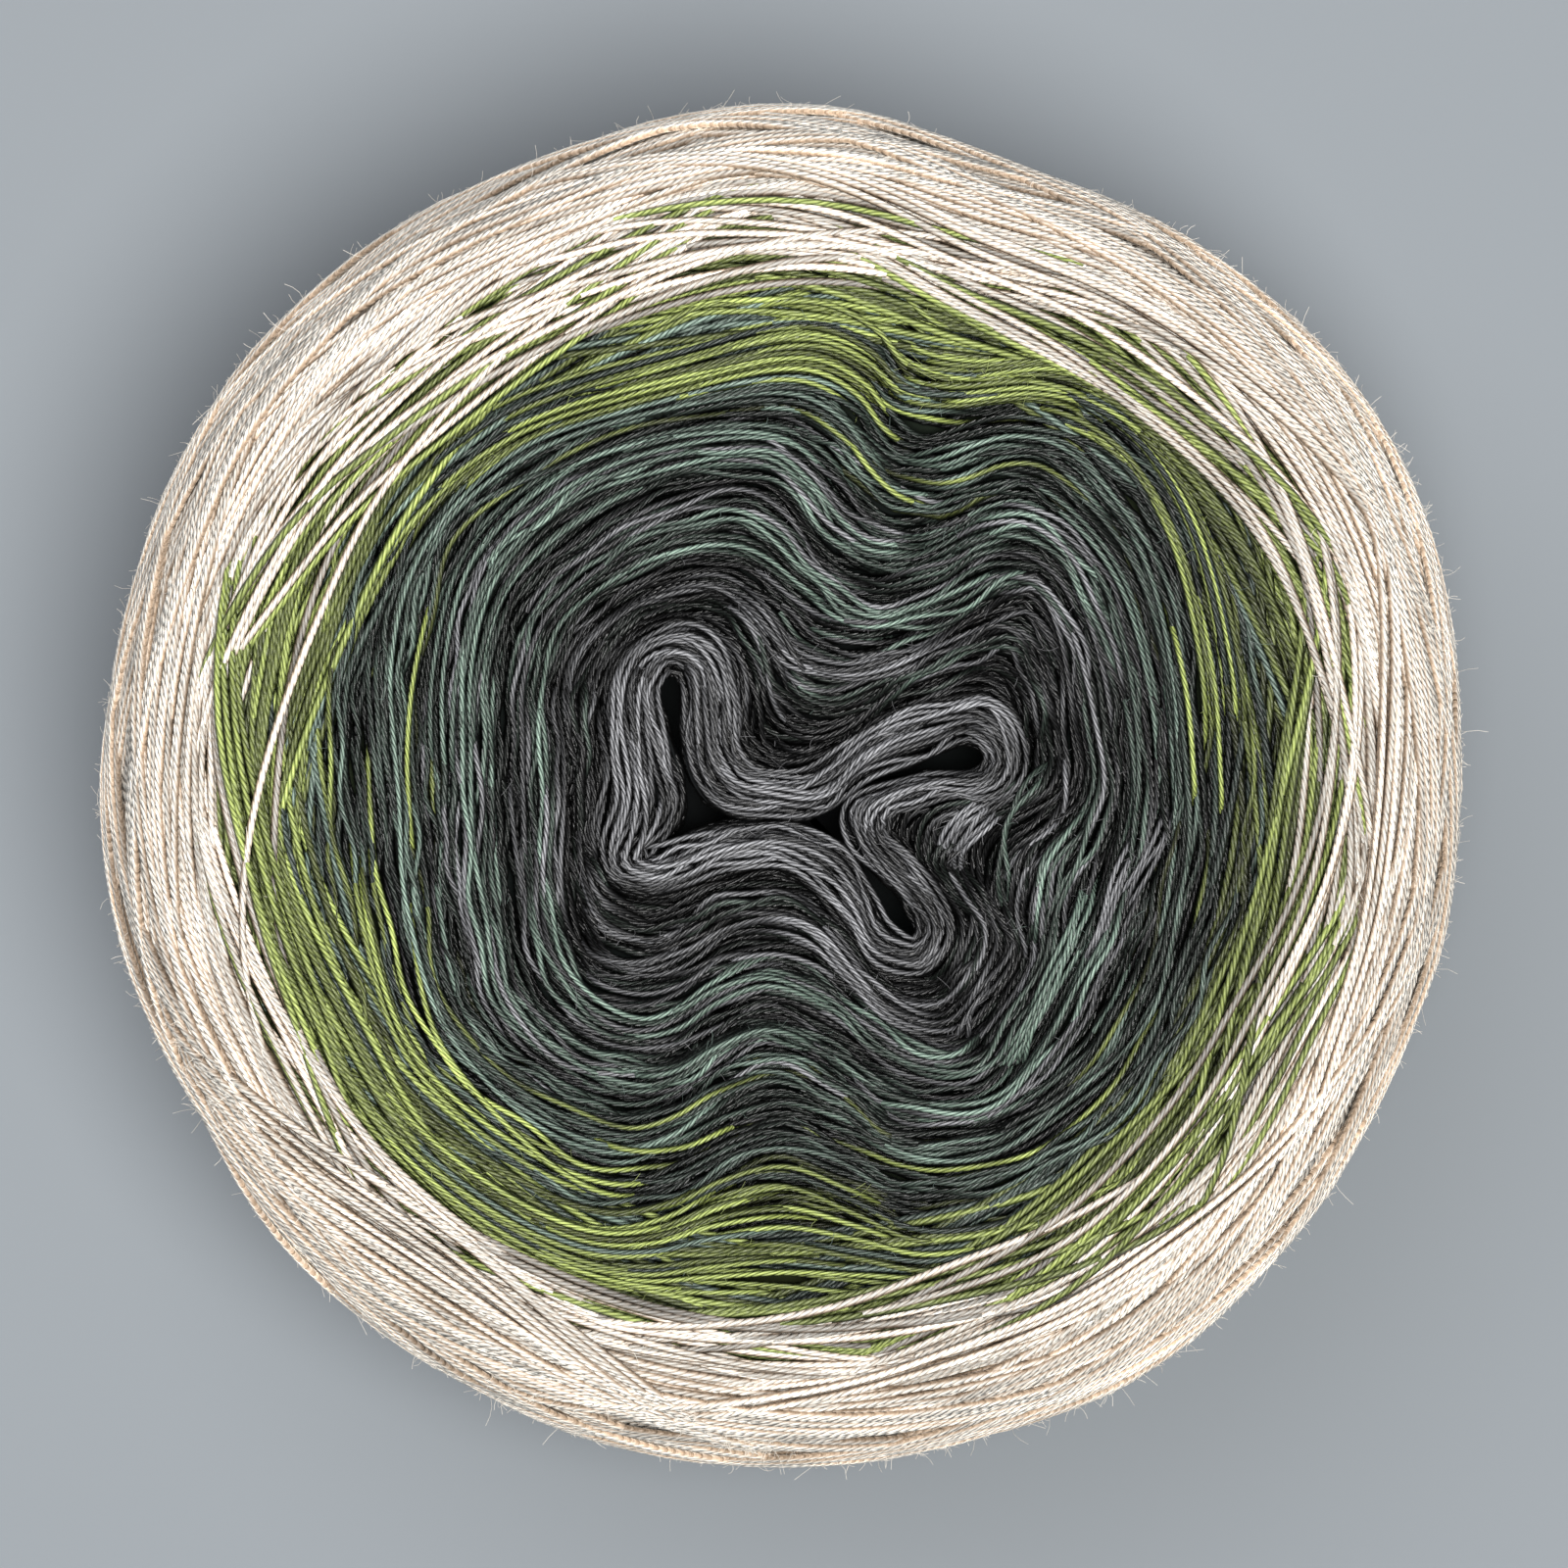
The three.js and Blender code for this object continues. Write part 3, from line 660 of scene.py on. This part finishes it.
def lay_bundle(angle, way, lift, colours, looseness, brightness, unevenness, step):
    """Lays the threads of one bundle side by side along its middle line. Loose ones stray from it."""
    radius = np.interp(way, profile_way, profile[:, 0])
    slope = np.gradient(way, angle) / radius
    stretch = np.sqrt(1 + np.clip(slope, -3, 3) ** 2)
    steps = np.hypot(np.diff(angle) * radius[1:], np.diff(way))
    length = np.concatenate([[0], np.cumsum(steps)])
    wander = sway(length, 0.25, 30, 120)
    for i, colour in enumerate(colours):
        offset = (i - (len(colours) - 1) / 2) * THREAD_PITCH + chance.uniform(-0.08, 0.08)
        aside = offset + wander + sway(length, 0.11, 16, 80) + sway(length, looseness, 70, 200)
        bob = sway(length, 0.07, 10, 50) + chance.uniform(-0.24, 0.12) + LATER_DYE_LIFT[colour]
        points, ups = on_barrel(angle, way + aside * stretch, bed(way) + lift + bob)
        points, ups, bob = evenly(points, step, ups, bob)
        x, y = points[:, 0], points[:, 1]
        # Painted light and shade: darker in the hollows and for threads that lie lower, lighter or darker
        # in the patches, and lighter towards the outline.
        shaded = patches(HOLLOWS, x, y) / LIGHT_DEPTH - patches(LIGHT_PATCHES, x, y)
        edge = smooth((np.hypot(x, y) - EDGE_RADIUS) / 4)
        light = brightness + 0.4 * (bob - LATER_DYE_LIFT[colour]) - shaded + 0.2 * edge
        light += chance.uniform(-unevenness, unevenness)
        lay_thread(colour, points, ups, light)


def bundle_colours(stage, count=ABREAST):
    """The threads of a bundle at a stage of the winding: 0 is all teal, 1 all green and 2 all cream. They
    change colour one after another."""
    before, after = ("teal", "green") if stage < 1 else ("green", "cream")
    changed = int(round((stage % 1) * count + chance.uniform(-0.6, 0.6)))
    colours = [after if i < changed else before for i in range(count)]
    chance.shuffle(colours)
    return colours


def bow_over(middle, foot, bend, end):
    """A shallow bow: its angles, and its way from the foot in its middle to the same end on both sides."""
    half = math.sqrt((end - foot) / bend)
    angle = middle + np.linspace(-half, half, 100)
    return angle, foot + bend * (angle - middle) ** 2


FACE_TURNS = 56
FACE_END = 54.0
for k in range(FACE_TURNS):
    share = k / (FACE_TURNS - 1)
    foot = 38.0 + 9.0 * share + chance.uniform(-1.4, 1.4)
    middle = k * GOLDEN + chance.uniform(-0.2, 0.2)
    angle, way = bow_over(middle, foot, chance.uniform(4.0, 13.0), FACE_END)
    stage = 0.35 + 1.05 * share**1.1 + chance.uniform(-0.25, 0.15)
    colours = bundle_colours(stage, int(chance.integers(3, 5)))
    lift = FACE_GROWTH * share - 1.5 * smooth((way - 49) / 4)
    lay_bundle(angle, way, lift, colours, 0.5, 0.54, 0.25, 2.2)

# The cream threads that lie over them, from the time when the yarn changed from green to cream. The columns
# are the middle in degrees from +X, the foot, how fast they bend away from it, and the threads abreast.
OVERLAID = [
    (117, 43.6, 10, 2),
    (133, 45.4, 9, 2),
    (131, 47.4, 18, 1),
    (152, 42.4, 9, 1),
    (203, 46.8, 8, 2),
    (224, 46.8, 7, 2),
    (262, 45.6, 8, 2),
    (274, 47.0, 7, 3),
    (318, 44.2, 4, 2),
    (332, 46.8, 6, 2),
    (20, 47.2, 8, 1),
    (45, 43.8, 9, 2),
    (60, 46.8, 8, 2),
    (84, 47.0, 8, 3),
    (100, 46.2, 8, 3),
]
for middle, foot, bend, abreast in OVERLAID:
    angle, way = bow_over(math.radians(middle), foot, bend, FACE_END)
    lift = FACE_GROWTH + 0.6 - 1.5 * smooth((way - 51.5) / 2.5)
    lay_bundle(angle, way, lift, ["cream"] * abreast, 0.7, 0.62, 0.18, 2.2)

# The first cream turns and the last green ones, wound one beside another. They lie deep in the side and
# fill it where the later bundles part.
FILL_TURNS = 102
for k in range(FILL_TURNS):
    way = 43.0 + 0.76 * k
    angle = np.linspace(0, 2 * np.pi, 120)
    around = angle * WOUND_RADIUS
    lift = -1.9 + sway(around, 0.12, 30, 90, True)
    points, ups = on_barrel(angle, way + sway(around, 0.5, 60, 200, True), lift)
    points, ups = evenly(points, 4.0, ups)
    # Their painted light is a little lower, as shade, for they lie deep.
    lay_thread("cream" if way > 49.5 else "green", points, ups, chance.uniform(0.48, 0.64), 0.42, 4)

# The cream turns, wound last, so that their crossing bundles make the rim and the whole side. The first of
# them still hold green threads, and lie apart over the green face.
MIXED_TURNS = 17
MIXED_FOOT = 43.6
RIM_TURNS = 64
RIM_FOOT = 50.4
for k in range(RIM_TURNS):
    share = (k + 0.5) / RIM_TURNS
    if k < MIXED_TURNS:
        foot = MIXED_FOOT + 7.0 * k / MIXED_TURNS + chance.uniform(-1.2, 1.2)
        colours = bundle_colours(1.0 + 0.8 * k / MIXED_TURNS)
        looseness = 1.0
        flatness = 0.75
    else:
        later = (k - MIXED_TURNS) / (RIM_TURNS - MIXED_TURNS)
        foot = RIM_FOOT + 6.6 * later**0.8 + chance.uniform(-0.7, 0.7)
        colours = ["cream"] * ABREAST
        looseness = 0.2
        flatness = 0.95
    middle = k * GOLDEN + chance.uniform(-0.35, 0.35)
    angle = middle + np.linspace(-np.pi, np.pi, 700)
    tilt = np.cos(angle - middle)
    way = MID_WAY - (MID_WAY - foot) * np.sign(tilt) * np.abs(tilt) ** flatness
    lift = FACE_GROWTH + OVER_FACE + RIM_GROWTH * share
    lay_bundle(angle, way, lift, colours, looseness, 0.67, 0.08, 3.2)

# The underside, where the turns of every colour come round again. They were laid on a flat plate, so they
# lie there in calm rings, and the cake rests on them.
BASE_TURNS = 54
for k in range(BASE_TURNS):
    way = profile_way[-1] - 5.5 - k * 0.80
    angle = np.linspace(0, 2 * np.pi, 150)
    radius = profile_way[-1] - way
    ring_way = way + 1.2 * np.sin(2 * angle + k * 0.15) * radius / 45
    ring_way += sway(angle * radius, 0.2, 20, 60, True)
    lift = sway(angle * radius, 0.1, 15, 40, True) - THREAD_RADIUS - 0.15
    points, ups = on_barrel(angle, ring_way, lift)
    points, ups = evenly(points, 3.0, ups)
    share = radius / WOUND_RADIUS
    if share < 0.45:
        colour = chance.choice(["grey", "teal"], p=[0.75, 0.25])
    elif share < 0.62:
        colour = chance.choice(["teal", "green"], p=[0.65, 0.35])
    elif share < 0.74:
        colour = chance.choice(["teal", "green"], p=[0.15, 0.85])
    else:
        colour = chance.choice(["green", "cream"], p=[0.5, 0.5])
    lay_thread(colour, points, ups, 0.65, THREAD_RADIUS, 4)

# Strands that lie thick in the outermost waves, over the top and along the bottom, most of them green. The
# columns are the folds between which they come up, the levels that they keep to, how high they lie, and
# their number.
GREEN_WAVES = [
    (2.5, 8.0, 4.75, 5.6, 0.9, 14),
    (5.0, 14.5, 5.2, 6.2, 1.7, 30),
    (12.5, 18.0, 4.9, 5.7, 1.0, 10),
    (24.5, 34.5, 5.6, 6.5, 1.9, 20),
    (25.0, 34.5, 6.5, 7.3, 2.1, 14),
    (31.0, 36.0, 5.0, 5.6, 1.0, 4),
]
for first, last, low, high, lift, count in GREEN_WAVES:
    for _ in range(count):
        start = chance.uniform(first, last - 3.5)
        end = min(start + chance.uniform(3.5, 7.0), last)
        level = chance.uniform(low, high)
        rise = lift + chance.uniform(-0.5, 0.4)
        colour = chance.choice(["green", "teal"], p=[0.82, 0.18])
        end_level = level + chance.uniform(-0.2, 0.2)
        lay_stray(colour, start, end, level, end_level, rise, chance.uniform(0.3, 0.8))

# The very last turns of cream yarn, which lie at a slant across the rim and go down the side at both ends.
# The columns are the middle in degrees from +X, the foot, how fast they bend away from it, and the threads
# abreast.
LAST_END = 66.0
LAST_TURNS = [
    (233, 48.6, 38, 4),
    (236, 51.0, 34, 4),
    (239, 53.2, 30, 4),
    (352, 51.5, 16, 3),
    (62, 50.5, 14, 3),
    (296, 50.5, 14, 3),
]
for middle, foot, bend, abreast in LAST_TURNS:
    angle, way = bow_over(math.radians(middle), foot, bend, LAST_END)
    lift = FACE_GROWTH + OVER_FACE + RIM_GROWTH - 2.5 * smooth((way - 60) / 6)
    lay_bundle(angle, way, lift, ["cream"] * abreast, 0.3, 0.68, 0.08, 2.2)

# The turns as pieces, one or more for each dye. Each thread is two rounded plies twisted together, with a
# groove between them darkened by painted shade, and is streaked with fibres that run along each ply. Its
# sides are painted darker, and its colour is scaled by its painted light.
STROKE = 0.87
LEAN = 0.7
PLY_RELIEF = 0.18
plies = bpy.data.node_groups.new("twisted plies", "ShaderNodeTree")
for socket, kind, way in (
    ("Ply", "NodeSocketColor", "INPUT"),
    ("Groove", "NodeSocketColor", "INPUT"),
    ("Groove Share", "NodeSocketFloat", "INPUT"),
    ("Colour", "NodeSocketColor", "OUTPUT"),
    ("Height", "NodeSocketFloat", "OUTPUT"),
):
    plies.interface.new_socket(socket, in_out=way, socket_type=kind)


def maths(operation, *values):
    return node(plies, "ShaderNodeMath", operation, values).outputs[0]


def noise(x, y, z, detail):
    at = node(plies, "ShaderNodeCombineXYZ", values=(x, y, z)).outputs[0]
    made = node(plies, "ShaderNodeTexNoise", values=(at,))
    made.inputs["Scale"].default_value = 1.0
    made.inputs["Detail"].default_value = detail
    return made.outputs["Fac"]


given = plies.nodes.new("NodeGroupInput")
result = plies.nodes.new("NodeGroupOutput")
thread_map = node(plies, "ShaderNodeUVMap", uv_map="thread").outputs[0]
split = node(plies, "ShaderNodeSeparateXYZ", values=(thread_map,))
run_length, way_round = split.outputs[0], split.outputs[1]
light = node(plies, "ShaderNodeAttribute", attribute_name="light").outputs["Fac"]
seed = node(plies, "ShaderNodeAttribute", attribute_name="seed").outputs["Fac"]
across = maths("COSINE", maths("MULTIPLY", way_round, 2 * math.pi))
wobble = noise(maths("MULTIPLY", run_length, 0.4), maths("MULTIPLY", seed, 70.0), 0.0, 1.0)
turn = maths("ADD", maths("MULTIPLY", run_length, 1 / STROKE), maths("MULTIPLY", across, LEAN))
turn = maths("ADD", turn, maths("MULTIPLY", wobble, 1.5))
part = maths("FRACT", turn)
ply = maths("MULTIPLY", maths("MULTIPLY", part, maths("SUBTRACT", 1.0, part)), 4.0)
streak_across = maths("MULTIPLY", turn, 5.0)
streak_along = maths("MULTIPLY", run_length, 0.5)
streak = noise(streak_across, streak_along, maths("MULTIPLY", seed, 60.0), 3.0)
drift = noise(maths("MULTIPLY", run_length, 0.12), maths("MULTIPLY", seed, 90.0), 5.0, 2.0)
mixed = node(plies, "ShaderNodeMix", data_type="RGBA")
# Painted shade at the sides of each thread: they lean to the groove's colour and are darkened.
edge = maths("POWER", maths("ABSOLUTE", across), 2.0)
middle = maths("SUBTRACT", 1.0, maths("MULTIPLY", edge, 0.95))
groove = maths("MULTIPLY", maths("SUBTRACT", 1.0, maths("POWER", ply, 0.9)), given.outputs["Groove Share"])
plies.links.new(maths("MULTIPLY", maths("SUBTRACT", 1.0, groove), middle), mixed.inputs["Factor"])
plies.links.new(given.outputs["Groove"], mixed.inputs["A"])
plies.links.new(given.outputs["Ply"], mixed.inputs["B"])
bright = maths("ADD", 0.20, maths("MULTIPLY", streak, 1.3))
bright = maths("ADD", bright, maths("MULTIPLY", maths("SUBTRACT", drift, 0.5), 1.1))
# Painted light: the colour is scaled by the thread's light, dark in a cleft and bright on a crest.
bright = maths("MULTIPLY", bright, maths("ADD", 0.08, maths("MULTIPLY", maths("POWER", light, 2.1), 2.25)))
edge = maths("SUBTRACT", 1.0, maths("MULTIPLY", edge, 0.55))
scaled = node(plies, "ShaderNodeVectorMath", "SCALE")
plies.links.new(mixed.outputs["Result"], scaled.inputs[0])
plies.links.new(maths("MULTIPLY", bright, edge), scaled.inputs["Scale"])
plies.links.new(scaled.outputs[0], result.inputs["Colour"])
height = maths("ADD", maths("MULTIPLY", ply, 0.8), maths("MULTIPLY", streak, 0.5))
plies.links.new(height, result.inputs["Height"])

# The groove's colour is painted shade, and its share is how much of that painted shade shows.
DYES_AND_GROOVE_SHADE = {  # the ply's colour, the groove's, and how much of the groove shows
    "cream": ((0.86, 0.84, 0.78), (0.68, 0.48, 0.32), 0.42),
    "green": ((0.32, 0.385, 0.105), (0.070, 0.095, 0.025), 0.85),
    "teal": ((0.134, 0.187, 0.153), (0.018, 0.030, 0.026), 1.0),
    "grey": ((0.160, 0.163, 0.173), (0.017, 0.017, 0.019), 1.0),
}
dyed = {}
for colour, (ply_colour, groove_shade_colour, groove_shade_share) in DYES_AND_GROOVE_SHADE.items():
    dyed[colour], tree, shader = plain_material(f"{colour} yarn", 0.42, 0.6)
    twist = tree.nodes.new("ShaderNodeGroup")
    twist.node_tree = plies
    twist.inputs["Ply"].default_value = (*ply_colour, 1)
    twist.inputs["Groove"].default_value = (*groove_shade_colour, 1)
    twist.inputs["Groove Share"].default_value = groove_shade_share
    bump = tree.nodes.new("ShaderNodeBump")
    bump.inputs["Strength"].default_value = 1.0
    bump.inputs["Distance"].default_value = PLY_RELIEF * MILLIMETRE
    tree.links.new(twist.outputs["Colour"], shader.inputs["Base Color"])
    tree.links.new(twist.outputs["Height"], bump.inputs["Height"])
    tree.links.new(bump.outputs["Normal"], shader.inputs["Normal"])


def thread_piece(name, threads, material):
    """One mesh of many runs of thread. Its map gives the millimetres along each run and the share of the
    way round it."""
    corners, faces, maps, lights, seeds = [], [], [], [], []
    start = 0
    for points, ups, radius, sides, light, seed in threads:
        angle = np.arange(sides) / sides * 2 * np.pi
        along = np.gradient(points, axis=0)
        along /= np.linalg.norm(along, axis=1, keepdims=True) + HAIR
        side = np.cross(along, ups)
        side /= np.linalg.norm(side, axis=1, keepdims=True) + HAIR
        up = np.cross(side, along)
        ring = np.cos(angle)[None, :, None] * side[:, None] + np.sin(angle)[None, :, None] * up[:, None]
        corners.append((points[:, None] + ring * radius).reshape(-1, 3))
        way = length_along(points)
        i = np.arange(len(points) - 1)[:, None]
        j = np.arange(sides)[None, :]
        k = (j + 1) % sides
        quad = np.stack([i * sides + j, (i + 1) * sides + j, (i + 1) * sides + k, i * sides + k], axis=2)
        faces.append(start + quad.reshape(-1, 4))
        near = np.broadcast_to(way[:-1, None], quad.shape[:2])
        far = np.broadcast_to(way[1:, None], quad.shape[:2])
        low = np.broadcast_to(j / sides, quad.shape[:2])
        high = np.broadcast_to((j + 1) / sides, quad.shape[:2])
        maps.append(np.stack([near, low, far, low, far, high, near, high], axis=2).reshape(-1, 2))
        lights.append(np.repeat(light, sides))
        seeds.append(np.full(len(points) * sides, seed))
        start += len(points) * sides
    corners, faces, maps = np.concatenate(corners), np.concatenate(faces), np.concatenate(maps)
    mesh = bpy.data.meshes.new(name)
    mesh.vertices.add(len(corners))
    mesh.vertices.foreach_set("co", (corners * MILLIMETRE).astype(np.float32).ravel())
    mesh.loops.add(faces.size)
    mesh.loops.foreach_set("vertex_index", faces.astype(np.int32).ravel())
    mesh.polygons.add(len(faces))
    mesh.polygons.foreach_set("loop_start", np.arange(0, faces.size, 4, dtype=np.int32))
    mesh.polygons.foreach_set("use_smooth", np.ones(len(faces), dtype=bool))
    mesh.uv_layers.new(name="thread").uv.foreach_set("vector", maps.astype(np.float32).ravel())
    for attribute, values in (("light", lights), ("seed", seeds)):
        data = mesh.attributes.new(attribute, "FLOAT", "POINT").data
        data.foreach_set("value", np.concatenate(values).astype(np.float32))
    mesh.update()
    mesh.validate()
    mesh.materials.append(material)
    piece = bpy.data.objects.new(name, mesh)
    bpy.context.collection.objects.link(piece)
    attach(piece, "root")
    return piece


# The cream turns are three pieces with about as much yarn in each.
wound = np.cumsum([len(points) * sides for points, _, _, sides, _, _ in runs["cream"]])
first, second = np.searchsorted(wound, (wound[-1] / 3, wound[-1] * 2 / 3))
thread_piece("cream_turns_under", runs["cream"][:first], dyed["cream"])
thread_piece("cream_turns_between", runs["cream"][first:second], dyed["cream"])
thread_piece("cream_turns_over", runs["cream"][second:], dyed["cream"])
thread_piece("green_turns", runs["green"], dyed["green"])
thread_piece("teal_turns", runs["teal"], dyed["teal"])
thread_piece("grey_turns", runs["grey"], dyed["grey"])


# The fuzz: single cotton fibres that stand out of the threads all over, a few millimetres long and much
# thinner than a thread. They show best round the outline and over the dark middle.
FIBRE_RADIUS = 0.016
FIBRE_STEPS = 3
FIBRE_SIDES = 3
FIBRE_LONGEST = 2.8
TABLE_CLEARANCE = 0.1
FUZZ = [  # the thread's colour, fibres, of how many places each takes the outermost, the fibre's colour
    ("cream", 5400, 4, (0.92, 0.86, 0.77)),
    ("green", 500, 1, (0.34, 0.40, 0.15)),
    ("teal", 800, 1, (0.15, 0.20, 0.18)),
    ("grey", 800, 1, (0.20, 0.20, 0.21)),
]
for colour, count, outermost_of, fibre_colour in FUZZ:
    fibre_material, tree, shader = plain_material(f"{colour} fibre", 0.7, 0.3)
    shader.inputs["Base Color"].default_value = (*fibre_colour, 1)
    fibres = []
    # Only the threads that show have all their sides, and the later ones lie on top and carry more fuzz.
    threads = [run for run in runs[colour] if run[3] == THREAD_SIDES]
    for pick in (len(threads) * chance.random(count) ** 0.5).astype(int):
        points, ups, radius = threads[pick][:3]
        places = chance.integers(1, len(points) - 1, outermost_of)
        at = places[np.argmax(np.linalg.norm(points[places, :2], axis=1))]
        along = points[at + 1] - points[at - 1]
        along /= np.linalg.norm(along)
        aside = np.cross(along, ups[at])
        heading = along * chance.choice([-1, 1]) + ups[at] * chance.uniform(0.1, 1.0)
        heading = heading + aside * chance.uniform(-0.8, 0.8)
        curl = chance.normal(0, 0.9, 3) - 0.1 * ups[at]
        length = min(chance.exponential(0.6) + 0.4, FIBRE_LONGEST)
        line = [points[at] + ups[at] * radius * 0.9]
        for _ in range(FIBRE_STEPS):
            heading = heading / np.linalg.norm(heading) + curl * 0.5
            line.append(line[-1] + heading / np.linalg.norm(heading) * length / FIBRE_STEPS)
        line = np.array(line)
        if line[:, 2].min() < TABLE_CLEARANCE:
            continue
        sideways = np.tile(np.cross(along, heading), (len(line), 1))
        fibres.append((line, sideways, FIBRE_RADIUS, FIBRE_SIDES, np.ones(len(line)), 0.5))
    thread_piece(f"{colour}_fibres", fibres, fibre_material)


# The table top that the cake lies on, plain and matt, with soft daylight from two sides and the camera
# straight above.
floor_material, tree, shader = plain_material("table top", 0.8, 0.3)
shader.inputs["Base Color"].default_value = (0.19, 0.21, 0.23, 1)
table = bpy.data.meshes.new("table top")
table.from_pydata([(-3, -3, 0), (3, -3, 0), (3, 3, 0), (-3, 3, 0)], [], [(0, 1, 2, 3)])
table.materials.append(floor_material)
floor = bpy.data.objects.new("table_top", table)
bpy.context.collection.objects.link(floor)


def soft_light(name, place, size, power, colour):
    lamp = bpy.data.lights.new(name, "AREA")
    lamp.shape = "DISK"
    lamp.size = size
    lamp.energy = power
    lamp.color = colour
    light = bpy.data.objects.new(name, lamp)
    light.location = place
    aim = -light.location
    light.rotation_euler = aim.to_track_quat("-Z", "Y").to_euler()
    bpy.context.collection.objects.link(light)


soft_light("window", (0.12, -0.14, 1.0), 0.45, 14.0, (1.0, 0.985, 0.955))
soft_light("fill", (-0.3, 0.4, 1.1), 0.9, 8.0, (0.98, 0.98, 1.0))
world = bpy.data.worlds.new("room")
world.use_nodes = True
world.node_tree.nodes["Background"].inputs["Color"].default_value = (1.0, 0.985, 0.96, 1)
world.node_tree.nodes["Background"].inputs["Strength"].default_value = 0.30
bpy.context.scene.world = world
bpy.context.scene.view_settings.view_transform = "Standard"

CAMERA_DISTANCE = 750.0
CAMERA_ASIDE = 0.1
FRAME_WIDTH = 138.2
camera_data = bpy.data.cameras.new("camera")
camera_data.sensor_width = 36
camera_data.lens = 36 * CAMERA_DISTANCE / FRAME_WIDTH
camera = bpy.data.objects.new("camera", camera_data)
camera_height = (CAMERA_DISTANCE + WOUND_HEIGHT / 2) * MILLIMETRE
camera.location = (0, CAMERA_ASIDE * MILLIMETRE, camera_height)
bpy.context.collection.objects.link(camera)
bpy.context.scene.camera = camera
